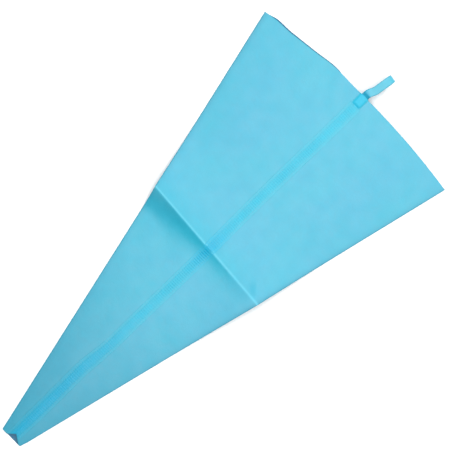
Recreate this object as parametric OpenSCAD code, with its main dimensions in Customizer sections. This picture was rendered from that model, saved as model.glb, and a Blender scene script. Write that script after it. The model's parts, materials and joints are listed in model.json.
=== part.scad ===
// Reusable pastry piping bag, lying flat after storage: one film sheet rolled into a cone and
// lap-welded down its front, a hanging loop welded into the seam's end at the mouth, and the crease
// across the middle where the bag was folded in half. +Y runs from the tip to the mouth, +Z is up,
// and "left" and "right" are seen from above with the mouth at the far end.

/* [Bag] */
// Length from the cut tip to the middle of the mouth
bag_length = 350; // [320:5:380]
// Flat width across the corners of the mouth
mouth_width = 180; // [160:2:200]
// Flat width across the cut tip
tip_width = 18; // [18:0.5:22]
// How far the corners of the mouth stand back from its middle
mouth_sag = 6.5; // [4:0.5:9]
// Thickness of the film
film = 0.5; // [0.4:0.05:0.6]

/* [Storage crease] */
// Distance from the cut tip to the middle of the crease
crease_place = 195.5; // [180:0.5:205]
// Angle between the crease and a line square across the bag
crease_skew = 3.6; // [0:0.2:5]
// Height of the crease's ridge
crease_height = 12; // [11:0.5:13]
// Length of the slope down from the ridge in the mouth half
mouth_slope_length = 45; // [42:1:50]
// Length of the slope down from the ridge in the tip half
tip_slope_length = 25; // [24:1:30]

/* [Lie of the walls] */
// Height of the front wall above the table in the mouth half
mouth_rise = 9; // [8:0.5:10]
// Height of the front wall above the table in the tip half
tip_rise = 7; // [6.5:0.5:8]
// Plan width of each side fold in the mouth half
mouth_fold_run = 24; // [18:1:28]
// Plan width of each side fold in the tip half
tip_fold_run = 5; // [4:0.5:5.5]
// Depth of the notch that the front wall's lifted lip shows at the tip
tip_notch = 4; // [2:0.5:5]

/* [Seam] */
// Width of the welded lap
seam_width = 8; // [6:0.5:10]
// How far the lap stands proud of the front wall
seam_raise = 0.5; // [0.4:0.1:0.6]
// Sideways place of the seam from the crease to the mouth
seam_shift = 2.5; // [0:0.5:3]
// Sideways place of the seam at the tip
seam_tip_shift = 0.4; // [-1.5:0.1:1.5]

/* [Hanging loop] */
// Length of the weld that holds the loop's two ends
weld_length = 10; // [8:0.5:12]
// How far the weld reaches past the edge of the mouth
weld_overhang = 1.6; // [1:0.2:3]
// Thickness of the weld, with the loop's two ends in it
weld_thickness = 1.2; // [1:0.1:1.4]
// Width of the loop's strip
loop_width = 6.2; // [5:0.2:7]
// Length of the loop from its bend line to its far end
loop_length = 20.5; // [20:0.5:24]
// Outer radius of the round end where the strip turns back
loop_radius = 4; // [4:0.1:4.5]
// Sideways turn of the loop, to the right
loop_turn = 11.5; // [0:0.5:12]
// Downward lean of the loop
loop_droop = 8; // [5:0.5:8]

/* [Hidden] */

// The two halves of the bag, on each side of the crease
MOUTH = 1;
TIP = -1;
LEFT = -1;
RIGHT = 1;

wall_colour = [0.42, 0.80, 0.90];
fold_colour = [0.38, 0.76, 0.87];
seam_colour = [0.30, 0.80, 0.93];
loop_colour = [0.45, 0.83, 0.92];

// Length over which the loop's two legs lie on each other
loop_root = 2;
// Room between the loop and the weld, and between each half of the bag and the crease
hinge_clearance = 1.8;
crease_clearance = 0.3;
// The front wall is thinned to an edge over this length, beside the crease
knife_length = 2.5;
knife_edge = 0.04;
// The seam's lap stops this far from the crease
seam_clearance = 6;
// The strips run this far past the mouth and the tip before they are trimmed
strip_spare = 3;
trim_height = 20;

// Places along the bag. The origin is under the middle of the whole bag, loop included.
hinge_reach = bag_length + weld_overhang + hinge_clearance;
loop_reach = loop_length * cos(loop_turn) * cos(loop_droop) + loop_width / 2 * sin(loop_turn);
tip_y = -(hinge_reach + loop_reach) / 2;
mouth_y = tip_y + bag_length;
crease_y = tip_y + crease_place;
hinge_y = tip_y + hinge_reach;
hinge_z = mouth_rise + weld_thickness;

side_slope = (mouth_width - tip_width) / 2 / (bag_length - mouth_sag);
crease_half = tip_width / 2 + side_slope * crease_place;
mouth_radius = (pow(mouth_width / 2, 2) + pow(mouth_sag, 2)) / (2 * mouth_sag);
seam_slope = (seam_shift - seam_tip_shift) / crease_place;

// Lines that run along the bag, each as [x where y is crease_y, change of x with y]
function side_line(side, run) = [side * (crease_half - run), side * side_slope];
function seam_line(half, shift) = [seam_shift + shift, half == MOUTH ? 0 : seam_slope];

// Where such a line meets the parallel to the crease that is e away, towards the mouth
function on_line(line, e) =
    let(a = (line[0] + e * (line[1] * cos(crease_skew) - sin(crease_skew)))
            / (cos(crease_skew) + line[1] * sin(crease_skew)))
    [
        a * cos(crease_skew) + e * sin(crease_skew),
        crease_y - a * sin(crease_skew) + e * cos(crease_skew)
    ];

function mix(a, b, f) = a + (b - a) * f;
function lift(point, z) = [point[0], point[1], z];
function rise(half) = half == MOUTH ? mouth_rise : tip_rise;
function fold_run(half) = half == MOUTH ? mouth_fold_run : tip_fold_run;
function slope_length(half) = half == MOUTH ? mouth_slope_length : tip_slope_length;

// Heights at distance d from the crease: the front wall's upper face, the back wall's under face,
// and the side fold's under face where it meets the front wall
function sloped(half, d) = min(d / slope_length(half), 1);
function front_top(half, d) = mix(crease_height, rise(half), sloped(half, d));
function back_bottom(half, d) = mix(crease_height, 0, sloped(half, d));
function fold_top(half, d) = mix(crease_height, rise(half) - film, sloped(half, d));

// The outer and inner edges of a side fold at distance d from the crease. They meet at the crease.
function outer_point(half, side, d) = on_line(side_line(side, 0), half * d);
function inner_point(half, side, d) =
    d < slope_length(half)
        ? mix(
            outer_point(half, side, 0),
            on_line(side_line(side, fold_run(half)), half * slope_length(half)),
            sloped(half, d)
        )
        : on_line(side_line(side, fold_run(half)), half * d);
// Where the back wall's upper face meets the side fold's under face
function back_edge(half, side, d) =
    mix(
        outer_point(half, side, d),
        inner_point(half, side, d),
        film / (fold_top(half, d) - back_bottom(half, d))
    );
// The two walls touch at this distance from the crease, and the back wall starts there
function pinch(half) = 2 * film * slope_length(half) / rise(half);

function strip_length(half) =
    strip_spare + (half == MOUTH ? bag_length - crease_place : crease_place);

// A strip of film through rings of four points: near and far lower edges, then upper edges
module strip(rings) {
    first = rings[0];
    last = 4 * (len(rings) - 1);
    towards = rings[1][0] - first[0];
    turned = cross(first[1] - first[0], first[3] - first[0]) * towards > 0;
    faces = concat(
        [[3, 2, 1, 0]],
        [[last, last + 1, last + 2, last + 3]],
        [for (i = [0 : 4 : last - 4]) for (j = [0 : 3])
            let(k = (j + 1) % 4)
            [i + j, i + k, i + 4 + k, i + 4 + j]]
    );
    polyhedron(
        points = [for (ring = rings) for (point = ring) point],
        faces = turned ? [for (f = faces) [f[3], f[2], f[1], f[0]]] : faces
    );
}

// The space that each half of the bag is cut to: an arc at the mouth, a straight cut at the tip
module trim(half) {
    if (half == MOUTH)
        translate([0, mouth_y - mouth_radius, -1])
            cylinder(r = mouth_radius, h = trim_height, $fn = 720);
    else
        translate([-mouth_width / 2, tip_y, -1])
            cube([mouth_width, bag_length, trim_height]);
}

module back_wall(half) {
    intersection() {
        strip([for (d = [pinch(half), slope_length(half), strip_length(half)]) [
            lift(outer_point(half, LEFT, d), back_bottom(half, d)),
            lift(outer_point(half, RIGHT, d), back_bottom(half, d)),
            lift(back_edge(half, RIGHT, d), back_bottom(half, d) + film),
            lift(back_edge(half, LEFT, d), back_bottom(half, d) + film)
        ]]);
        trim(half);
    }
}

module side_fold(half, side) {
    intersection() {
        strip([for (d = [pinch(half), slope_length(half), strip_length(half)]) [
            lift(outer_point(half, side, d), back_bottom(half, d)),
            lift(inner_point(half, side, d), fold_top(half, d)),
            lift(inner_point(half, side, d), fold_top(half, d) + film),
            lift(outer_point(half, side, d), back_bottom(half, d) + film)
        ]]);
        trim(half);
    }
}

// The front wall lifts at the tip's cut, which shows from above as a notch
module tip_lip() {
    depth = tip_notch + 1;
    spread = (tip_width / 2 - tip_fold_run) * depth / tip_notch;
    translate([seam_tip_shift, tip_y - 1, 0])
        linear_extrude(trim_height)
            polygon([[-spread, 0], [spread, 0], [0, depth]]);
}

module front_wall(half, side) {
    difference() {
        intersection() {
            strip([for (d = [crease_clearance, knife_length, slope_length(half), strip_length(half)])
                let(thickness = d < knife_length ? knife_edge : film)
                let(top = front_top(half, d))
                let(seam = on_line(seam_line(half, 0), half * d))
                [
                    lift(inner_point(half, side, d), top - thickness),
                    lift(seam, top - thickness),
                    lift(seam, top),
                    lift(inner_point(half, side, d), top)
                ]]);
            trim(half);
        }
        if (half == TIP)
            tip_lip();
    }
}

// The lap lies on the front wall, from beside the crease to the weld or to the tip's lip
module seam_lap(half) {
    stop_y = half == MOUTH ? mouth_y + weld_overhang - weld_length : tip_y + tip_notch;
    low_y = half == MOUTH ? crease_y : stop_y;
    high_y = half == MOUTH ? stop_y : crease_y;
    intersection() {
        strip([for (d = [seam_clearance, slope_length(half), strip_length(half)]) [
            lift(on_line(seam_line(half, -seam_width / 2), half * d), front_top(half, d)),
            lift(on_line(seam_line(half, seam_width / 2), half * d), front_top(half, d)),
            lift(on_line(seam_line(half, seam_width / 2), half * d), front_top(half, d) + seam_raise),
            lift(on_line(seam_line(half, -seam_width / 2), half * d), front_top(half, d) + seam_raise)
        ]]);
        translate([-mouth_width / 2, low_y, 0])
            cube([mouth_width, high_y - low_y, trim_height]);
    }
}

module mouth_back_wall() {
    color(wall_colour) back_wall(MOUTH);
}

module mouth_front_left_wall() {
    color(wall_colour) front_wall(MOUTH, LEFT);
}

module mouth_front_right_wall() {
    color(wall_colour) front_wall(MOUTH, RIGHT);
}

module mouth_left_side_fold() {
    color(fold_colour) side_fold(MOUTH, LEFT);
}

module mouth_right_side_fold() {
    color(fold_colour) side_fold(MOUTH, RIGHT);
}

module mouth_seam_lap() {
    color(seam_colour) seam_lap(MOUTH);
}

module tip_back_wall() {
    color(wall_colour) back_wall(TIP);
}

module tip_front_left_wall() {
    color(wall_colour) front_wall(TIP, LEFT);
}

module tip_front_right_wall() {
    color(wall_colour) front_wall(TIP, RIGHT);
}

module tip_left_side_fold() {
    color(fold_colour) side_fold(TIP, LEFT);
}

module tip_right_side_fold() {
    color(fold_colour) side_fold(TIP, RIGHT);
}

module tip_seam_lap() {
    color(seam_colour) seam_lap(TIP);
}

module loop_end_weld() {
    color(seam_colour)
        translate([
            seam_shift - seam_width / 2,
            mouth_y + weld_overhang - weld_length,
            mouth_rise
        ])
            cube([seam_width, weld_length, weld_thickness]);
}

// The loop seen from its side: two legs that part from the root to a round end
module loop_side_view() {
    centre = loop_length - loop_radius;
    inner_radius = loop_radius - film;
    difference() {
        union() {
            translate([centre, 0]) circle(r = loop_radius, $fn = 64);
            polygon([
                [0, -film], [loop_root, -film], [centre, -loop_radius],
                [centre, loop_radius], [loop_root, film], [0, film]
            ]);
        }
        translate([centre, 0]) circle(r = inner_radius, $fn = 64);
        polygon([[loop_root, 0], [centre, -inner_radius], [centre, inner_radius]]);
    }
}

module hanging_loop() {
    color(loop_colour)
        translate([seam_shift, hinge_y, hinge_z])
            rotate([0, 0, 90 - loop_turn])
                rotate([0, loop_droop, 0])
                    rotate([90, 0, 0])
                        translate([0, 0, -loop_width / 2])
                            linear_extrude(loop_width) loop_side_view();
}

mouth_back_wall();
mouth_front_left_wall();
mouth_front_right_wall();
mouth_left_side_fold();
mouth_right_side_fold();
mouth_seam_lap();
tip_back_wall();
tip_front_left_wall();
tip_front_right_wall();
tip_left_side_fold();
tip_right_side_fold();
tip_seam_lap();
loop_end_weld();
hanging_loop();
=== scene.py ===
import json
import math

import bpy
import numpy as np
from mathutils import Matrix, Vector


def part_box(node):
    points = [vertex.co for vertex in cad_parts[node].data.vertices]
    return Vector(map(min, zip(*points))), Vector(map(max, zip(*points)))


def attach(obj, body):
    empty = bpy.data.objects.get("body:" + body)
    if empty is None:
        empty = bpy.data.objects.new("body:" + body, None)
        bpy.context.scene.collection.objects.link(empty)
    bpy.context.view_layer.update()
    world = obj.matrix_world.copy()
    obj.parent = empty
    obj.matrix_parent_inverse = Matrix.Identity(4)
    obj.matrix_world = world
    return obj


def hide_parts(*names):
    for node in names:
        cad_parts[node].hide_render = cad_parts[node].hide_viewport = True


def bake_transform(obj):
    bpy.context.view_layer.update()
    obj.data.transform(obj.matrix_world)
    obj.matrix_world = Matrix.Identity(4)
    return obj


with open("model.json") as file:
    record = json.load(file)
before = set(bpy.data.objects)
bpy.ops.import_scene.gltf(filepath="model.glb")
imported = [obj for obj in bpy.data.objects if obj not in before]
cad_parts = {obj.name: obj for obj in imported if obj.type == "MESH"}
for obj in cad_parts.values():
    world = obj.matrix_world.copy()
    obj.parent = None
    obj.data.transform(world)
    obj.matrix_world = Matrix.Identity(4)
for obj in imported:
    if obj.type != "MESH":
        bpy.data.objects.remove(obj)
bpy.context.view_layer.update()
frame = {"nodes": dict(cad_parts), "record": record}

# A reusable piping bag lying flat on a table, tip towards -Y and mouth towards +Y. Shapes are worked
# out in millimetres and go into the meshes in metres.
MM = 0.001


def joint(name):
    return next(j for j in frame["record"]["behaviour"]["joints"] if j["name"] == name)


# ---------------------------------------------------------------- places taken from the frame, mm
CREASE = joint("crease_fold")
CREASE_Y = CREASE["pos_m"][1] / MM
RIDGE = CREASE["pos_m"][2] / MM
SKEW = math.atan2(CREASE["axis"][1], -CREASE["axis"][0])
HINGE_X, HINGE_Y, HINGE_Z = (p / MM for p in joint("loop_bend")["pos_m"])
TIP_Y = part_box("tip_back_wall")[0].y / MM
MOUTH_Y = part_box("mouth_back_wall")[1].y / MM
MOUTH_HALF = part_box("mouth_back_wall")[1].x / MM
WELD_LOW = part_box("loop_end_weld")[0] / MM
LOOP_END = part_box("hanging_loop")[1].y / MM

# ---------------------------------------------------------------- sizes of the bag, mm
FILM = 0.5
TIP_HALF = 9.0
MOUTH_SAG = 6.5
# Height of the front wall along the seam, at the tip, below the crease and in the mouth half
TIP_CROWN, MIDDLE_CROWN, MOUTH_CROWN = 3.9, 6.4, 8.2
# How full the front wall's arch is at the same three places, from 1, straight sides, upwards
TIP_FULLNESS, MIDDLE_FULLNESS, MOUTH_FULLNESS = 1.06, 1.6, 1.7
PINCHED = 1.15
# Length of the slopes from the crease into the mouth half, on the front and on the back
MOUTH_SLOPE, BACK_SLOPE = 45.0, 62.0
# Length of the back wall's slope into the tip half, at the left edge, the middle and the right edge
TIP_SLOPES = (20.0, 34.0, 110.0)
# The front wall's drop from the ridge into the tip half has a steep part and a long gentle part,
# and the steep part's share of it falls from the left edge to the right edge
STEEP_REACH, GENTLE_REACHES = 17.0, (50.0, 60.0, 110.0)
STEEP_SHARES = (0.95, 0.56, 0.0)
# How strongly painted shade darkens the film beside the crease, likewise
CREASE_SHADES = (0.8, 0.75, 0.1)
RIDGE_RADIUS = 0.5
FOLD_RADIUS = 0.6
# How quickly the slopes fall away from the ridge: powers of the nearness to the crease
STEEP_POWER, TIP_POWER, MOUTH_POWER = 3, 1.7, 2.6
BACK_TIP_POWER, BACK_MOUTH_POWER = 2.0, 1.7
# The front wall stops rising along the seam at this distance from the tip
CROWN_RISE = 120
# Swells of the front wall: height, distance between crests and direction
SWELLS = ((0.25, 90, 0.5), (0.1, 37, 2.0))

SIDE_SLOPE = (MOUTH_HALF - TIP_HALF) / (MOUTH_Y - MOUTH_SAG - TIP_Y)
CREASE_HALF = TIP_HALF + SIDE_SLOPE * (CREASE_Y - TIP_Y)
SEAM_X = HINGE_X
TIP_SEAM_X = 0.0
# The seam leaves the tip's middle line at this distance from the tip, over this length, and it
# wanders a little all the way
KINK_START, KINK_LENGTH = 66, 36
WANDER, WANDER_LENGTH = 0.3, 23
MOUTH_RADIUS = (MOUTH_HALF**2 + MOUTH_SAG**2) / (2 * MOUTH_SAG)

# ---------------------------------------------------------------- mesh resolution
TIP_ROWS, MOUTH_ROWS = 96, 84
FRONT_COLUMNS, BACK_COLUMNS, FOLD_STEPS = 92, 72, 5
ROW_GRADING = 3.0
# Distance of the last row but one from the cut, so that smooth shading stays true up to it
CUT_ROW = 0.5


def smooth(x):
    x = np.clip(x, 0, 1)
    return x * x * (3 - 2 * x)


def waves(x, y, length, turn):
    """A gentle uneven swell between -1 and 1, with crests about length apart."""
    # The uneven factors keep its three waves from lining up anywhere on the bag
    k = 2 * math.pi / length
    a, b = math.cos(turn), math.sin(turn)
    return (
        np.sin(k * (a * x + b * y) + 1.3 * np.sin(0.43 * k * (b * x - a * y) + turn))
        + np.sin(0.61 * k * (b * x + a * y) + 2.1 * turn)
        + np.sin(0.37 * k * (a * y - b * x) + 0.7)
    ) / 3


# ---------------------------------------------------------------- shape of the bag
def side_x(y):
    """Half-width of the bag at y."""
    return TIP_HALF + SIDE_SLOPE * (y - TIP_Y)


def crease_distance(x, y):
    """Signed distance from the crease, positive towards the mouth."""
    return x * math.sin(SKEW) + (y - CREASE_Y) * math.cos(SKEW)


def nearness(e, mouth_reach, tip_reach):
    """1 at the crease, falling evenly to 0 at the given reach on each side of it."""
    d = np.sqrt(e**2 + RIDGE_RADIUS**2) - RIDGE_RADIUS
    return np.clip(1 - d / np.where(e > 0, mouth_reach, tip_reach), 0, 1)


def from_left(x, values):
    """Goes smoothly through the values at the left edge, the middle and the right edge."""
    left, middle, right = values
    t = np.clip(x / CREASE_HALF, -1, 1)
    return middle + (right - left) / 2 * t + ((right + left) / 2 - middle) * t**2


def seam_middle(y):
    """The seam runs down the middle near the tip, with a kink where the wheel was restarted."""
    s = y - TIP_Y
    across = (SEAM_X - TIP_SEAM_X) * smooth((s - KINK_START) / KINK_LENGTH)
    return TIP_SEAM_X + across + WANDER * np.sin(s / WANDER_LENGTH)


def back_height(x, y):
    """Height of the back wall's outer face, which is tented up under the crease."""
    e = crease_distance(x, y)
    near = nearness(e, BACK_SLOPE, from_left(x, TIP_SLOPES))
    return (RIDGE - PINCHED) * near ** np.where(e > 0, BACK_MOUTH_POWER, BACK_TIP_POWER)


def crown_height(x, y):
    """Height that the front wall would have if its arch had no side folds."""
    e = crease_distance(x, y)
    tip_crown = np.interp(y - TIP_Y, [0, CROWN_RISE], [TIP_CROWN, MIDDLE_CROWN])
    crown = np.where(e > 0, MOUTH_CROWN, tip_crown)
    share = from_left(x, STEEP_SHARES)
    steep = nearness(e, MOUTH_SLOPE, STEEP_REACH) ** STEEP_POWER
    near = nearness(e, MOUTH_SLOPE, from_left(x, GENTLE_REACHES))
    gentle = near ** np.where(e > 0, MOUTH_POWER, TIP_POWER)
    rise = share * steep + (1 - share) * gentle
    swell = sum(height * waves(x, y, length, turn) for height, length, turn in SWELLS)
    return crown + swell * (1 - rise) + (RIDGE - crown) * rise


def fullness(y):
    """How full the front wall's arch is at y."""
    return np.interp(
        side_x(y),
        [TIP_HALF, CREASE_HALF, MOUTH_HALF],
        [TIP_FULLNESS, MIDDLE_FULLNESS, MOUTH_FULLNESS],
    )


def arch_reach(x, y):
    """Distance from the side edge to the seam, on the side that x is on."""
    middle = seam_middle(y)
    return np.where(x < middle, side_x(y) + middle, side_x(y) - middle)


# The pinch beside the crease's right end: its depth, its place along and off the crease with its
# half-width each way, and how much it leans
PINCH, PINCH_X, PINCH_WIDE, PINCH_OFF, PINCH_REACH, PINCH_LEAN = 0.75, 50, 4.5, 7, 6, 0.5
# Where the bump in the mouth's edge is, and the wrinkle below it: its depth, half-width, lean and
# length, and how slowly it fades in
BUMP_X = -27
WRINKLE, WRINKLE_WIDE, WRINKLE_LEAN, WRINKLE_LENGTH, WRINKLE_FADE = 0.4, 3.2, 0.35, 34, 30


def dents(x, y):
    """A pinch beside the crease's right end, and a faint wrinkle below the bump in the mouth."""
    e = crease_distance(x, y)
    along = (x + PINCH_LEAN * e - PINCH_X) / PINCH_WIDE
    pinch = PINCH * np.exp(-(along**2) - ((e - PINCH_OFF) / PINCH_REACH) ** 2)
    aside = (x - BUMP_X - WRINKLE_LEAN * (MOUTH_Y - y)) / WRINKLE_WIDE
    wrinkle = np.exp(-(aside**2)) * smooth((y - MOUTH_Y + WRINKLE_LENGTH) / WRINKLE_FADE)
    return pinch + WRINKLE * wrinkle


def fold_angle(x, y):
    """Slope at which the front wall leaves the side fold."""
    room = np.maximum(crown_height(x, y) - back_height(x, y) - 2 * FOLD_RADIUS, 0)
    return np.arctan(fullness(y) * room / arch_reach(x, y))


def front_height(x, y):
    """Height of the front wall's outer face."""
    low, high = back_height(x, y), crown_height(x, y)
    a = fold_angle(x, y)
    start = low + FOLD_RADIUS * (1 + np.cos(a))
    edge = side_x(y) - FOLD_RADIUS * (1 - np.sin(a))
    inwards = np.where(x < seam_middle(y), edge + x, edge - x) / arch_reach(x, y)
    arch = start + (high - start) * (1 - (1 - np.clip(inwards, 0, 1)) ** fullness(y))
    return arch - dents(x, y)


# The notch in the front wall's lip at the tip: its place, its depth and half-widths, the power that
# shapes it and how far up the wall it acts. Then the radius of the cut's right corner
NOTCH_X, NOTCH_DEPTH, NOTCH_LEFT, NOTCH_RIGHT = 0.4, 5.0, 5.2, 7.4
NOTCH_POWER, NOTCH_REACH = 1.15, 18.0
CORNER = 1.6
CORNER_REACH = 4 * CORNER


def lip_shift(x, y):
    """How far the front wall's lip stands back at the tip's cut."""
    half = np.where(x < NOTCH_X, NOTCH_LEFT, NOTCH_RIGHT)
    peak = np.clip(1 - np.abs(x - NOTCH_X) / half, 0, 1)
    near = np.clip(1 - (y - TIP_Y) / NOTCH_REACH, 0, 1)
    return NOTCH_DEPTH * (peak**NOTCH_POWER) * near**2


def corner_shift(x, y):
    """The cut's right corner is rounded off."""
    out = np.clip((x - (TIP_HALF - CORNER)) / CORNER, 0, 1)
    near = np.clip(1 - (y - TIP_Y) / CORNER_REACH, 0, 1)
    return CORNER * (1 - np.sqrt(np.maximum(1 - out**2, 0))) * near**2


def front_point(x, y):
    """Place of the front wall's outer face, with the tip's notch and corner."""
    z = front_height(x, y)
    return np.stack([x, y + lip_shift(x, y) + corner_shift(x, y), z], -1)


# The mouth's cut is tilted, starts short of the sheet's edge, and bulges at BUMP_X and at the left
MOUTH_TILT, MOUTH_SHORT = 0.021, 0.8
BULGE, BUMP_WIDE, LEFT_BULGE_X, LEFT_BULGE_WIDE = 1.3, 14, 66, 16
# The back stands past the front at the mouth's left, between these places
BACK_LONGER = 1.2
LONGER_START, LONGER_START_FADE, LONGER_END, LONGER_END_FADE = 12, 14, 89, 10


def mouth_edge(x, extra):
    """The arc that the mouth is cut to, with the slight unevenness of a hand-held cut."""
    arc = MOUTH_Y - MOUTH_RADIUS + np.sqrt(MOUTH_RADIUS**2 - x**2) + MOUTH_TILT * x - MOUTH_SHORT
    left_bulge = BULGE * smooth((-x - LEFT_BULGE_X) / LEFT_BULGE_WIDE)
    bulges = BULGE * np.exp(-(((x - BUMP_X) / BUMP_WIDE) ** 2)) + left_bulge
    longer = extra * smooth((-x - LONGER_START) / LONGER_START_FADE)
    return arc + bulges + longer * smooth((x + LONGER_END) / LONGER_END_FADE)


# How far the crease's right end and the mouth's corners stand out past the straight side edges
CREASE_PROUD, CORNER_PROUD = 0.8, 0.35


def crease_end(side):
    """Where the crease meets a side edge. It pushes the right edge out a little."""
    reach = CREASE_HALF + (CREASE_PROUD if side > 0 else 0)
    a = side * reach / (math.cos(SKEW) + side * SIDE_SLOPE * math.sin(SKEW))
    return np.array([a * math.cos(SKEW), CREASE_Y - a * math.sin(SKEW)])


def row_point(half, t, across, extra):
    """Plan place on row t, 0 at the crease and 1 at the tip or the mouth, across from -1 to 1."""
    left, right = crease_end(-1), crease_end(1)
    crease_x = left[0] + (right[0] - left[0]) * (across + 1) / 2
    crease_y = left[1] + (right[1] - left[1]) * (across + 1) / 2
    if half == "tip":
        end_x = across * TIP_HALF
        end_y = np.full_like(across, TIP_Y)
    else:
        end_x = across * (MOUTH_HALF + CORNER_PROUD)
        end_y = mouth_edge(end_x, extra)
    return crease_x + (end_x - crease_x) * t, crease_y + (end_y - crease_y) * t


def fold_arc(side, end, angle):
    """Places round a side fold, in the order of the loop round the bag."""
    turn = np.linspace(math.pi / 2 - angle, -math.pi / 2, FOLD_STEPS + 2)[1:-1]
    if side < 0:
        turn = turn[::-1]
    x = end[0] - side * FOLD_RADIUS * (1 - np.cos(turn))
    y = np.full_like(x, end[1])
    z = back_height(x, y) + FOLD_RADIUS * (1 + np.sin(turn))
    return np.stack([x, y + corner_shift(x, y), z], -1)


def wall_section(half, t):
    """One closed loop round the bag: front left to right, right fold, back, left fold."""
    ends = row_point(half, t, np.array([-1.0, 1.0]), 0)
    left, right = np.stack(ends, -1)
    left_angle, right_angle = fold_angle(*ends)
    reach = (right[0] - left[0]) / 2

    spread = np.sin(math.pi / 2 * np.linspace(-1, 1, FRONT_COLUMNS + 1))
    inset = FOLD_RADIUS * (1 - np.sin(np.where(spread < 0, left_angle, right_angle)))
    front = front_point(*row_point(half, t, spread * (1 - inset / reach), 0))

    spread = np.sin(math.pi / 2 * np.linspace(1, -1, BACK_COLUMNS + 1))
    x, y = row_point(half, t, spread * (1 - FOLD_RADIUS / reach), BACK_LONGER)
    back = np.stack([x, y + corner_shift(x, y), back_height(x, y)], -1)
    return np.concatenate(
        [front, fold_arc(1, right, right_angle), back, fold_arc(-1, left, left_angle)]
    )


def graded(count, length):
    """Row places from 0 to 1, close together near the crease, with one more just before the cut."""
    k = np.arange(count + 1) / count
    places = (np.exp(ROW_GRADING * k) - 1) / (math.exp(ROW_GRADING) - 1)
    return np.insert(places, -1, 1 - CUT_ROW / length)


# ---------------------------------------------------------------- mesh helpers
def make_mesh(name, points, faces):
    mesh = bpy.data.meshes.new(name)
    mesh.from_pydata([tuple(p) for p in np.asarray(points) * MM], [], faces)
    mesh.validate()
    mesh.shade_smooth()
    piece = bpy.data.objects.new(name, mesh)
    bpy.context.scene.collection.objects.link(piece)
    return piece


def grid_faces(rows, columns, closed=False):
    """Quads over a grid of rows by columns, joined round into a tube if closed."""
    wide = columns if closed else columns - 1
    return [
        (
            r * columns + c,
            r * columns + (c + 1) % columns,
            (r + 1) * columns + (c + 1) % columns,
            (r + 1) * columns + c,
        )
        for r in range(rows - 1)
        for c in range(wide)
    ]


def thicken(piece, thickness, offset):
    """Gives the surface its thickness, inwards from its outer face if offset is -1."""
    solid = piece.modifiers.new("thickness", "SOLIDIFY")
    solid.thickness = thickness * MM
    solid.offset = offset
    return solid


def set_attribute(piece, name, values):
    attribute = piece.data.attributes.new(name, "FLOAT", "POINT")
    attribute.data.foreach_set("value", np.asarray(values, np.float32).ravel())


# The film's tone deepens from this distance from the tip, over this length
TIP_TONE_START, TIP_TONE_LENGTH = 178, 145
# How far other tones reach: painted shade from the side edges, a painted highlight from the ridge
# and painted shade from the crease
EDGE_SHADE_REACH, RIDGE_HIGHLIGHT_REACH, CREASE_SHADE_REACH = 1.4, 0.9, 13


def tip_tone(y):
    """0 in the mouth half, rising to 1 near the tip, where the film looks deeper."""
    return smooth((TIP_TONE_START - (y - TIP_Y)) / TIP_TONE_LENGTH)


# ---------------------------------------------------------------- bag wall
def bag_wall():
    rows = [wall_section("tip", t) for t in graded(TIP_ROWS, CREASE_Y - TIP_Y)[:0:-1]]
    rows += [wall_section("mouth", t) for t in graded(MOUTH_ROWS, MOUTH_Y - CREASE_Y)]
    points = np.stack(rows)
    piece = make_mesh(
        "bag_wall", points.reshape(-1, 3), grid_faces(len(rows), points.shape[1], closed=True)
    )
    x, y = points[..., 0], points[..., 1]
    inwards = side_x(y) - np.abs(x)
    # Painted shade along the side edges, where the film folds round
    set_attribute(piece, "edge", np.exp(-np.maximum(inwards, 0) / EDGE_SHADE_REACH))
    set_attribute(piece, "tip", tip_tone(y))
    e = crease_distance(x, y)
    # Painted highlight along the ridge
    set_attribute(piece, "ridge", np.exp(-((e / RIDGE_HIGHLIGHT_REACH) ** 2)))
    # Painted shade beside the crease, deepest at the left end
    beside = np.exp(-((e / CREASE_SHADE_REACH) ** 2))
    set_attribute(piece, "crease", from_left(x, CREASE_SHADES) * beside)
    solid = thicken(piece, FILM, -1)
    solid.material_offset = 1
    solid.material_offset_rim = 2
    return piece


# ---------------------------------------------------------------- seam
SEAM_RAISE, SEAM_BEVEL, SEAM_FILM = 0.3, 3.6, 0.45
SEAM_HALF_WIDTH = 4.8
# Gaps between the seam's piece and the tip's cut, the weld and the side edges
SEAM_TIP_GAP, SEAM_WELD_GAP, SEAM_SIDE_GAP = 0.35, 1.4, 1.2
# The wider stretch near the tip: how much wider, where it starts and ends, and over what lengths
WIDE_EXTRA = 0.5
WIDE_START, WIDE_START_FADE, WIDE_END, WIDE_END_FADE = 6, 16, 90, 8
# The print's bars: pitch along and across, depth, half their share of the pitch, and soft ends
TICK_PITCH, TICK_WIDE, TICK_DEPTH = 1.7, 2.0, 0.26
TICK_SHARE, TICK_FADE_ALONG, TICK_FADE_ACROSS = 0.33, 0.16, 0.2
# The print keeps clear of the lap's edges, and is worn here and there
SEAM_MARGIN, MARGIN_FADE = 0.8, 0.3
WEAR, WEAR_LENGTH, WEAR_TURN = 0.35, 31, 1.1
# The lap's painted sheen along its edges fades from this far inside the edge over this width, and
# the painted shade beside the crease reaches this far along the lap
EDGE_SHEEN_START, EDGE_SHEEN_WIDE, SEAM_CREASE_SHADE_REACH = 0.2, 4.2, 18
SEAM_STEP_ALONG, SEAM_STEP_ACROSS = 0.375, 0.25


def seam_half_width(y):
    """The wheel's second pass makes the lap wider between the tip and the kink."""
    s = y - TIP_Y
    before_end = smooth((WIDE_END - s) / WIDE_END_FADE)
    return SEAM_HALF_WIDTH + WIDE_EXTRA * before_end * smooth((s - WIDE_START) / WIDE_START_FADE)


def tick_print(across, along):
    """The welding wheel's print: a grid of short bars, 1 where the film is pressed in."""
    u = across / TICK_WIDE - np.floor(across / TICK_WIDE)
    v = along / TICK_PITCH - np.floor(along / TICK_PITCH)
    bar = smooth((0.5 - np.abs(u - 0.5)) / TICK_FADE_ACROSS)
    return bar * smooth((TICK_SHARE - np.abs(v - 0.5)) / TICK_FADE_ALONG)


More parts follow.
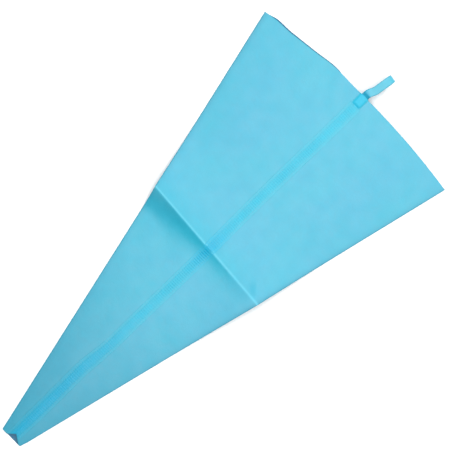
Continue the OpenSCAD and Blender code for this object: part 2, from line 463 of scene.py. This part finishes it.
def seam_grid():
    """Places down the seam: x, y, and the distance across it from its middle and from its edge."""
    start, stop = TIP_Y + SEAM_TIP_GAP, WELD_LOW.y - SEAM_WELD_GAP
    y = np.linspace(start, stop, int((stop - start) / SEAM_STEP_ALONG))
    across = np.linspace(-1, 1, int(2 * SEAM_HALF_WIDTH / SEAM_STEP_ACROSS) + 1)
    yy, cc = np.meshgrid(y, across, indexing="ij")
    half = seam_half_width(yy)
    limit = side_x(yy) - SEAM_SIDE_GAP
    xx = np.clip(seam_middle(yy) + cc * half, -limit, limit)
    return xx, yy, cc * half, (1 - np.abs(cc)) * half


def seam_lap():
    xx, yy, from_middle, from_edge = seam_grid()
    worn = 1 - WEAR + WEAR * waves(xx, yy, WEAR_LENGTH, WEAR_TURN)
    clear = smooth((from_edge - SEAM_MARGIN) / MARGIN_FADE)
    pressed = tick_print(from_middle, yy) * clear * worn
    points = front_point(xx, yy)
    points[..., 2] += SEAM_RAISE * smooth(from_edge / SEAM_BEVEL) - TICK_DEPTH * pressed
    piece = make_mesh("seam_lap", points.reshape(-1, 3), grid_faces(*xx.shape))
    set_attribute(piece, "pressed", pressed)
    # Painted sheen along the lap's edges, where the bevels tilt away
    set_attribute(piece, "margin_sheen", 1 - smooth((from_edge - EDGE_SHEEN_START) / EDGE_SHEEN_WIDE))
    # Painted shade on the lap beside the crease
    set_attribute(piece, "ridge", np.exp(-((crease_distance(xx, yy) / SEAM_CREASE_SHADE_REACH) ** 2)))
    set_attribute(piece, "tip", tip_tone(yy))
    thicken(piece, SEAM_FILM, -1)
    return piece


# ---------------------------------------------------------------- weld that holds the loop
WELD_WIDTH, WELD_SHIFT = 7.9, 0.2
# How far the patch reaches below the weld's solid, and how far it stops short of the mouth's edge
WELD_BELOW, WELD_MOUTH_GAP = 2.0, 0.5
# Its height over the film, the lengths it rises over, and the share of them it starts with
WELD_RAISE = 0.6
SIDE_BEVEL, SIDE_START, LOW_BEVEL, LOW_START = 2.0, 0.2, 3.0, 0.1
# The groove across its lower end, and the pillow inside its border
WELD_BORDER, GROOVE_WIDE, GROOVE_DEPTH = 0.9, 0.6, 0.06
PILLOW, PILLOW_FADE = 0.12, 1.6
# How far the painted sheen reaches in from the patch's sides
WELD_SHEEN_REACH = 1.4
# The film under the weld is taken as level over the last stretch before the mouth's edge
LEVEL_END = 1
WELD_ROWS, WELD_COLUMNS = 41, 37


def weld_patch():
    """The pressed square that holds the strip's two ends, up to the edge of the mouth."""
    start, end = WELD_LOW.y - WELD_BELOW, MOUTH_Y - WELD_MOUTH_GAP
    x = np.linspace(-WELD_WIDTH / 2, WELD_WIDTH / 2, WELD_COLUMNS)
    y = np.linspace(start, end, WELD_ROWS)
    yy, cc = np.meshgrid(y, x, indexing="ij")
    from_side = WELD_WIDTH / 2 - np.abs(cc)
    from_end = np.minimum(yy - start, end - yy)
    side_rise = smooth(from_side / SIDE_BEVEL + SIDE_START)
    rim = side_rise * smooth((yy - start) / LOW_BEVEL + LOW_START)
    groove = np.exp(-(((yy - start - WELD_BORDER) / GROOVE_WIDE) ** 2))
    pillow = smooth((np.minimum(from_side, from_end) - WELD_BORDER) / PILLOW_FADE)
    xx = SEAM_X + WELD_SHIFT + cc
    base = front_height(xx, np.minimum(yy, MOUTH_Y - LEVEL_END))
    zz = base + WELD_RAISE * rim - GROOVE_DEPTH * groove * rim + PILLOW * pillow
    points = np.stack([xx, yy, zz], -1).reshape(-1, 3)
    piece = make_mesh("weld_patch", points, grid_faces(*xx.shape))
    # Painted shade in the groove across the lower end
    set_attribute(piece, "groove", groove)
    # Painted sheen along the patch's sides
    set_attribute(piece, "margin_sheen", 1 - smooth(from_side / WELD_SHEEN_REACH))
    thicken(piece, FILM, -1)
    return piece


# ---------------------------------------------------------------- hanging loop
LOOP_HALF_WIDTH = 3.0
# The strip's ends lie this far inside the weld, and the round end has this radius
LOOP_ROOT, LOOP_ROUND = -5.4, 3.6
# The strip stops short of its solid's end, because it is slanted
LOOP_SHORT = 0.9
# Half the gap between the legs at the weld, where it starts to widen, and how quickly
LEG_GAP, LEG_START, LEG_POWER = 0.27, 0.5, 0.8
LEG_POINTS, ROUND_POINTS, STRIP_COLUMNS = 30, 18, 13
# Sideways: the strip leaves the weld to the right of the hinge, bends to the right and leans
LOOP_X, LOOP_BEND, BEND_START, BEND_LENGTH, LOOP_LEAN = 0.4, 1.7, -2.1, 7, 0.15
# Its slant is read from this many samples of its sideways shift, up to this place
SLANT_SAMPLES, SLANT_END = 200, 24
# Upwards: its height in the weld, and how much and where it lifts before it droops
LOOP_Z, LOOP_LIFT, LIFT_START, LIFT_LENGTH, LOOP_DROOP = 7.75, 2.0, -4.2, 3.4, 0.12
# The strip is a little narrower over the last stretch of its round end
NARROW, NARROW_LENGTH = 0.16, 2.2
# Where the painted shade over the strip's end in the weld fades out, and where the painted shade
# along its edges starts
ROOT_SHADE_START, ROOT_SHADE_LENGTH = -1.1, 2.0
RIM_SHADE_START, RIM_SHADE_WIDE = 0.7, 0.3


def loop_line():
    """The strip's middle line seen from the side: out on the lower leg and back on the upper one."""
    centre = LOOP_END - HINGE_Y - LOOP_ROUND - FILM / 2 - LOOP_SHORT
    out = np.linspace(LOOP_ROOT, centre, LEG_POINTS)
    widening = smooth((out - LEG_START) / (centre - LEG_START)) ** LEG_POWER
    part = LEG_GAP + (LOOP_ROUND - LEG_GAP) * widening
    turn = np.linspace(-math.pi / 2, math.pi / 2, ROUND_POINTS)[1:-1]
    along = np.concatenate([out, centre + LOOP_ROUND * np.cos(turn), out[::-1]])
    apart = np.concatenate([-part, LOOP_ROUND * np.sin(turn), part[::-1]])
    return along, apart


def loop_shift(along):
    """The strip leaves the weld straight, then bends to the right."""
    return LOOP_BEND * smooth((along - BEND_START) / BEND_LENGTH) + LOOP_LEAN * np.maximum(along, 0)


def loop_slope(along):
    """How far the strip runs sideways for each millimetre along."""
    samples = np.linspace(LOOP_ROOT, SLANT_END, SLANT_SAMPLES)
    step = (SLANT_END - LOOP_ROOT) / (SLANT_SAMPLES - 1)
    return np.interp(along, samples, np.gradient(loop_shift(samples), step))


def loop_height(along):
    """Height of the line midway between the strip's two legs."""
    lift = LOOP_LIFT * smooth((along - LIFT_START) / LIFT_LENGTH)
    return LOOP_Z + lift - LOOP_DROOP * np.maximum(along, 0)


def hanging_loop():
    along, apart = loop_line()
    across = np.linspace(-1, 1, STRIP_COLUMNS)
    rounded = np.clip((along - along.max() + NARROW_LENGTH) / NARROW_LENGTH, 0, 1)
    half = LOOP_HALF_WIDTH * (1 - NARROW * rounded**3)
    a, c = np.meshgrid(along, across, indexing="ij")
    width = half[:, None] * c
    slope = loop_slope(along)[:, None]
    length = np.sqrt(1 + slope**2)
    x = HINGE_X + LOOP_X + loop_shift(a) + width / length
    y = HINGE_Y + a - width * slope / length
    z = loop_height(a) + apart[:, None]
    points = np.stack([x, y, z], -1).reshape(-1, 3)
    piece = make_mesh("hanging_loop_strip", points, grid_faces(*a.shape))
    # Painted shade over the strip's end in the weld and just past it
    set_attribute(piece, "root", 1 - smooth((a - ROOT_SHADE_START) / ROOT_SHADE_LENGTH))
    # Painted shade along the strip's edges
    set_attribute(piece, "rim", smooth((np.abs(c) - RIM_SHADE_START) / RIM_SHADE_WIDE))
    thicken(piece, FILM, 0)
    return piece


# ---------------------------------------------------------------- materials
def add(tree, kind, inputs=None, **settings):
    """A new node, with each input linked if it is given a socket and set if it is given a value."""
    node = tree.nodes.new(kind)
    for key, value in settings.items():
        setattr(node, key, value)
    for key, value in (inputs or {}).items():
        if isinstance(value, bpy.types.NodeSocket):
            tree.links.new(value, node.inputs[key])
        else:
            node.inputs[key].default_value = value
    return node


def colour(r, g, b):
    """Display colour, 0 to 255, as the linear colour a shader wants."""
    def linear(c):
        c /= 255
        return c / 12.92 if c <= 0.04045 else ((c + 0.055) / 1.055) ** 2.4
    return (linear(r), linear(g), linear(b), 1)


def blank_material(name):
    material = bpy.data.materials.new(name)
    material.use_nodes = True
    tree = material.node_tree
    tree.nodes.clear()
    shader = add(tree, "ShaderNodeBsdfPrincipled")
    output = add(tree, "ShaderNodeOutputMaterial")
    tree.links.new(shader.outputs["BSDF"], output.inputs["Surface"])
    return material, tree, shader


def mix_colour(tree, factor, a, b):
    """Goes from a to b as factor goes from 0 to 1. Each may be a value or a socket."""
    node = add(tree, "ShaderNodeMix", data_type="RGBA")
    for key, value in (("Factor", factor), ("A", a), ("B", b)):
        socket = next(
            s for s in node.inputs if s.name == key and s.type in ("VALUE", "RGBA") and s.enabled
        )
        if isinstance(value, bpy.types.NodeSocket):
            tree.links.new(value, socket)
        else:
            socket.default_value = value
    return next(s for s in node.outputs if s.type == "RGBA")


def object_place(tree):
    return add(tree, "ShaderNodeTexCoord").outputs["Object"]


def noise(tree, place, wavelength, detail=2.0, roughness=0.5):
    """Noise between 0 and 1 with the given wavelength in millimetres."""
    return add(
        tree,
        "ShaderNodeTexNoise",
        {
            "Vector": place,
            "Scale": 1 / (wavelength * MM),
            "Detail": detail,
            "Roughness": roughness,
        },
    ).outputs["Fac"]


def ramp(tree, factor, low, high, out_low=0.0, out_high=1.0):
    """Maps the range from low to high onto the range from out_low to out_high."""
    return add(
        tree,
        "ShaderNodeMapRange",
        {
            "Value": factor,
            "From Min": low,
            "From Max": high,
            "To Min": out_low,
            "To Max": out_high,
        },
    ).outputs["Result"]


def attribute(tree, name):
    return add(tree, "ShaderNodeAttribute", attribute_name=name).outputs["Fac"]


# Noise seldom leaves the first of these ranges, and two tones are mixed over the second
NOISE_LOW, NOISE_HIGH = 0.3, 0.7
MIX_LOW, MIX_HIGH = 0.35, 0.65


def two_tone(tree, wavelength, one, other):
    """Two tones of the film in soft patches."""
    patches = noise(tree, object_place(tree), wavelength)
    return mix_colour(tree, ramp(tree, patches, MIX_LOW, MIX_HIGH), one, other)


def tint(tree, base, name, share, tone):
    """Lays a share of another tone over the base, where the named attribute says."""
    return mix_colour(tree, ramp(tree, attribute(tree, name), 0, 1, 0, share), base, tone)


# Wavelengths of the grain, the handling marks and the spots of tone, with each noise's detail and
# roughness
GRAIN = (0.7, 3.0)
MARKS = (9.0, 4.0, 0.6)
SPOTS = (4.5, 4.0, 0.7)
# Strength and depth in mm of the bumps that the grain and the marks make
GRAIN_STRENGTH, GRAIN_DEPTH = 0.45, 0.08
MARKS_STRENGTH, MARKS_DEPTH = 0.5, 0.35
# How far the film's tone wanders from spot to spot, as a share of its colour
MOTTLE = 0.035
# How far the marks take the roughness below and above its middle value
SMOOTHER, ROUGHER = 0.06, 0.08


def bump(tree, height, strength, depth, before=None):
    """A bump of the given depth in millimetres, over the bump before it."""
    inputs = {"Strength": strength, "Distance": depth * MM, "Height": height}
    if before is not None:
        inputs["Normal"] = before
    return add(tree, "ShaderNodeBump", inputs).outputs["Normal"]


def film_finish(tree, shader, base, wide=1.0, roughness=0.42, gloss=0.56):
    """What every piece of the film shares: a satin face with fine grain and faint handling marks."""
    place = object_place(tree)
    marks = noise(tree, place, *MARKS)
    normal = bump(tree, noise(tree, place, *GRAIN), GRAIN_STRENGTH, GRAIN_DEPTH)
    normal = bump(tree, marks, MARKS_STRENGTH * wide, MARKS_DEPTH, normal)
    tree.links.new(normal, shader.inputs["Normal"])
    spots = noise(tree, place, *SPOTS)
    mottle = ramp(tree, spots, NOISE_LOW, NOISE_HIGH, 1 - MOTTLE, 1 + MOTTLE)
    toned = add(tree, "ShaderNodeHueSaturation", {"Value": mottle, "Color": base})
    tree.links.new(toned.outputs["Color"], shader.inputs["Base Color"])
    uneven = ramp(tree, marks, NOISE_LOW, NOISE_HIGH, roughness - SMOOTHER, roughness + ROUGHER)
    tree.links.new(uneven, shader.inputs["Roughness"])
    shader.inputs["Specular IOR Level"].default_value = gloss


WALL = colour(50, 162, 186)
WALL_COOL = colour(57, 160, 187)
# Painted shade beside the crease
WALL_CREASE_SHADE = colour(10, 160, 186)
# Painted shade along the side edges and along the loop strip's edges
WALL_EDGE_SHADE = colour(26, 134, 160)
TIP_TONE = colour(37, 142, 168)
# Painted highlight along the ridge
RIDGE_HIGHLIGHT = colour(74, 182, 206)
# The inner face's colours are painted shade, much darker than the film's outer face
INSIDE_SHADE = colour(40, 106, 138)
INSIDE_SHADE_COOL = colour(36, 98, 130)
CUT = colour(104, 166, 190)
CUT_PALE = colour(122, 182, 204)
SEAM_TONE = colour(40, 173, 198)
# Painted sheen along the edges of the seam lap and the weld, with a deeper tone of it near the tip
SEAM_EDGE_SHEEN = colour(62, 170, 193)
SEAM_EDGE_SHEEN_TIP = colour(46, 151, 177)
# Painted shade on the seam beside the crease
SEAM_CREASE_SHADE = colour(0, 160, 196)
# The wheel's print, and also painted shade in the weld's groove and over the loop strip's end in the
# weld
PRESSED_PRINT_AND_SHADE = colour(4, 148, 182)
SEAM_TIP = colour(2, 148, 182)
WELD_TONE = colour(14, 168, 198)
LOOP_TONE = colour(62, 167, 190)

# Wavelengths of the patches of tone, mm
WALL_PATCHES, INSIDE_PATCHES, CUT_PATCHES = 34, 12, 2
# The seam's patches: wavelength and detail, the range of noise, and the most of WALL they show
SEAM_PATCHES, PATCH_LOW, PATCH_HIGH, PATCH_SHARE = (7, 3.0), 0.4, 0.7, 0.45
# How much of a tone is laid over the base where its attribute is 1
STRONG, HALF, EDGE_CREASE_SHADE_SHARE, GROOVE_SHADE_SHARE = 0.8, 0.5, 0.6, 0.4


def wall_material():
    material, tree, shader = blank_material("satin_film")
    base = two_tone(tree, WALL_PATCHES, WALL, WALL_COOL)
    base = mix_colour(tree, attribute(tree, "tip"), base, TIP_TONE)
    # Painted shade beside the crease
    base = tint(tree, base, "crease", STRONG, WALL_CREASE_SHADE)
    # Painted shade along the side edges
    base = tint(tree, base, "edge", STRONG, WALL_EDGE_SHADE)
    # Painted highlight along the ridge
    base = tint(tree, base, "ridge", STRONG, RIDGE_HIGHLIGHT)
    film_finish(tree, shader, base)
    return material


def inside_shade_material():
    material, tree, shader = blank_material("shaded_inner_face")
    # Its dark colour is painted shade; its duller finish is that of the film's inner side
    base = two_tone(tree, INSIDE_PATCHES, INSIDE_SHADE, INSIDE_SHADE_COOL)
    film_finish(tree, shader, base, wide=0.6, roughness=0.5, gloss=0.3)
    return material


def cut_edge_material():
    material, tree, shader = blank_material("cut_edge")
    base = two_tone(tree, CUT_PATCHES, CUT, CUT_PALE)
    film_finish(tree, shader, base, wide=0.3, roughness=0.5)
    return material


def seam_material():
    material, tree, shader = blank_material("welded_film")
    # Painted shade beside the crease
    base = mix_colour(tree, attribute(tree, "ridge"), SEAM_TONE, SEAM_CREASE_SHADE)
    base = tint(tree, base, "pressed", STRONG, PRESSED_PRINT_AND_SHADE)
    patches = noise(tree, object_place(tree), *SEAM_PATCHES)
    base = mix_colour(tree, ramp(tree, patches, PATCH_LOW, PATCH_HIGH, 0, PATCH_SHARE), base, WALL)
    base = mix_colour(tree, attribute(tree, "tip"), base, SEAM_TIP)
    # Painted sheen along the lap's edges
    edge = mix_colour(tree, attribute(tree, "tip"), SEAM_EDGE_SHEEN, SEAM_EDGE_SHEEN_TIP)
    # Painted shade beside the crease, over the edges' sheen
    edge = tint(tree, edge, "ridge", EDGE_CREASE_SHADE_SHARE, SEAM_CREASE_SHADE)
    base = mix_colour(tree, attribute(tree, "margin_sheen"), base, edge)
    film_finish(tree, shader, base, wide=0.5, gloss=0.42)
    return material


def weld_material():
    material, tree, shader = blank_material("pressed_weld")
    # Painted shade in the groove across the lower end
    base = tint(tree, WELD_TONE, "groove", GROOVE_SHADE_SHARE, PRESSED_PRINT_AND_SHADE)
    # Painted sheen along the patch's sides
    base = mix_colour(tree, attribute(tree, "margin_sheen"), base, SEAM_EDGE_SHEEN)
    film_finish(tree, shader, base, wide=0.5, gloss=0.36)
    return material


def loop_material():
    material, tree, shader = blank_material("loop_film")
    # Painted shade over the strip's end in the weld
    base = tint(tree, LOOP_TONE, "root", STRONG, PRESSED_PRINT_AND_SHADE)
    # Painted shade along the strip's edges
    base = tint(tree, base, "rim", HALF, WALL_EDGE_SHADE)
    film_finish(tree, shader, base, wide=0.6)
    return material


FLOOR_TONE = (0.93, 0.93, 0.93, 1)


def floor_material():
    material, tree, shader = blank_material("white_table")
    shader.inputs["Base Color"].default_value = FLOOR_TONE
    shader.inputs["Roughness"].default_value = 0.9
    shader.inputs["Specular IOR Level"].default_value = 0.1
    return material


# ---------------------------------------------------------------- stage
# The camera looks straight down: its height and the width it sees, mm, and where it looks
CAMERA_HEIGHT, VIEW_WIDTH = 1200.0, 321.2
VIEW_X, VIEW_Y, VIEW_TURN = -1.65, TIP_Y + 215.1, 45.55
SENSOR_WIDTH, FARTHEST = 36, 20
FLOOR_RADIUS, FLOOR_GAP, FLOOR_SIDES = 1500.0, 0.3, 96
# Lamps: name, place and width in metres, and power
LAMPS = (("key", (-0.25, 1.35, 1.0), 0.8, 10), ("overhead", (0.24, 0.1, 3.0), 4.2, 147))
# The studio's light comes mostly from low down: the sine of the elevation, and the strength there
LOW_SINE, LOW_LIGHT, HIGH_SINE, HIGH_LIGHT = 0.03, 0.95, 0.2, 0.16


def camera():
    data = bpy.data.cameras.new("camera")
    data.sensor_width = SENSOR_WIDTH
    data.lens = SENSOR_WIDTH * CAMERA_HEIGHT / VIEW_WIDTH
    data.clip_end = FARTHEST
    eye = bpy.data.objects.new("camera", data)
    eye.location = Vector((VIEW_X, VIEW_Y, CAMERA_HEIGHT)) * MM
    eye.rotation_euler = (0, 0, math.radians(VIEW_TURN))
    bpy.context.scene.collection.objects.link(eye)
    bpy.context.scene.camera = eye


def floor():
    turn = np.linspace(0, 2 * math.pi, FLOOR_SIDES, endpoint=False)
    rim = np.stack([np.cos(turn), np.sin(turn), 0 * turn], -1) * FLOOR_RADIUS
    piece = make_mesh("floor", rim - (0, 0, FLOOR_GAP), [tuple(range(len(rim)))])
    piece.data.materials.append(floor_material())


def area_light(name, place, size, power):
    """A disk lamp that faces the origin."""
    data = bpy.data.lights.new(name, "AREA")
    data.shape = "DISK"
    data.size = size
    data.energy = power
    lamp = bpy.data.objects.new(name, data)
    lamp.location = place
    lamp.rotation_euler = (-Vector(place)).to_track_quat("-Z", "Y").to_euler()
    bpy.context.scene.collection.objects.link(lamp)


def lights():
    for lamp in LAMPS:
        area_light(*lamp)
    world = bpy.data.worlds.new("studio")
    world.use_nodes = True
    tree = world.node_tree
    direction = add(tree, "ShaderNodeTexCoord").outputs["Generated"]
    height = add(tree, "ShaderNodeSeparateXYZ", {"Vector": direction}).outputs["Z"]
    background = tree.nodes["Background"]
    background.inputs["Color"].default_value = (1, 1, 1, 1)
    strength = ramp(tree, height, LOW_SINE, HIGH_SINE, LOW_LIGHT, HIGH_LIGHT)
    tree.links.new(strength, background.inputs["Strength"])
    bpy.context.scene.world = world
    bpy.context.scene.view_settings.view_transform = "Standard"


# ---------------------------------------------------------------- the model
def dressed(piece, slot, *materials):
    """The piece with its materials; the slot argument is not used."""
    for material in materials:
        piece.data.materials.append(material)
    return piece


WALL_NODES = [n for n in frame["nodes"] if n.endswith(("_wall", "_fold"))]
SEAM_NODES = [n for n in frame["nodes"] if n.endswith("_seam_lap")]

camera()
floor()
lights()

wall = dressed(bag_wall(), "film", wall_material(), inside_shade_material(), cut_edge_material())
seam = dressed(seam_lap(), "seam_weld", seam_material())
weld = dressed(weld_patch(), "seam_weld", weld_material())
strap = dressed(hanging_loop(), "loop_strip", loop_material())

for soft in (wall, seam):
    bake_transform(soft)
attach(weld, "mouth_half")
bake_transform(strap)

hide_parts(*WALL_NODES)
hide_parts(*SEAM_NODES)
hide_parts("loop_end_weld")
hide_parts("hanging_loop")
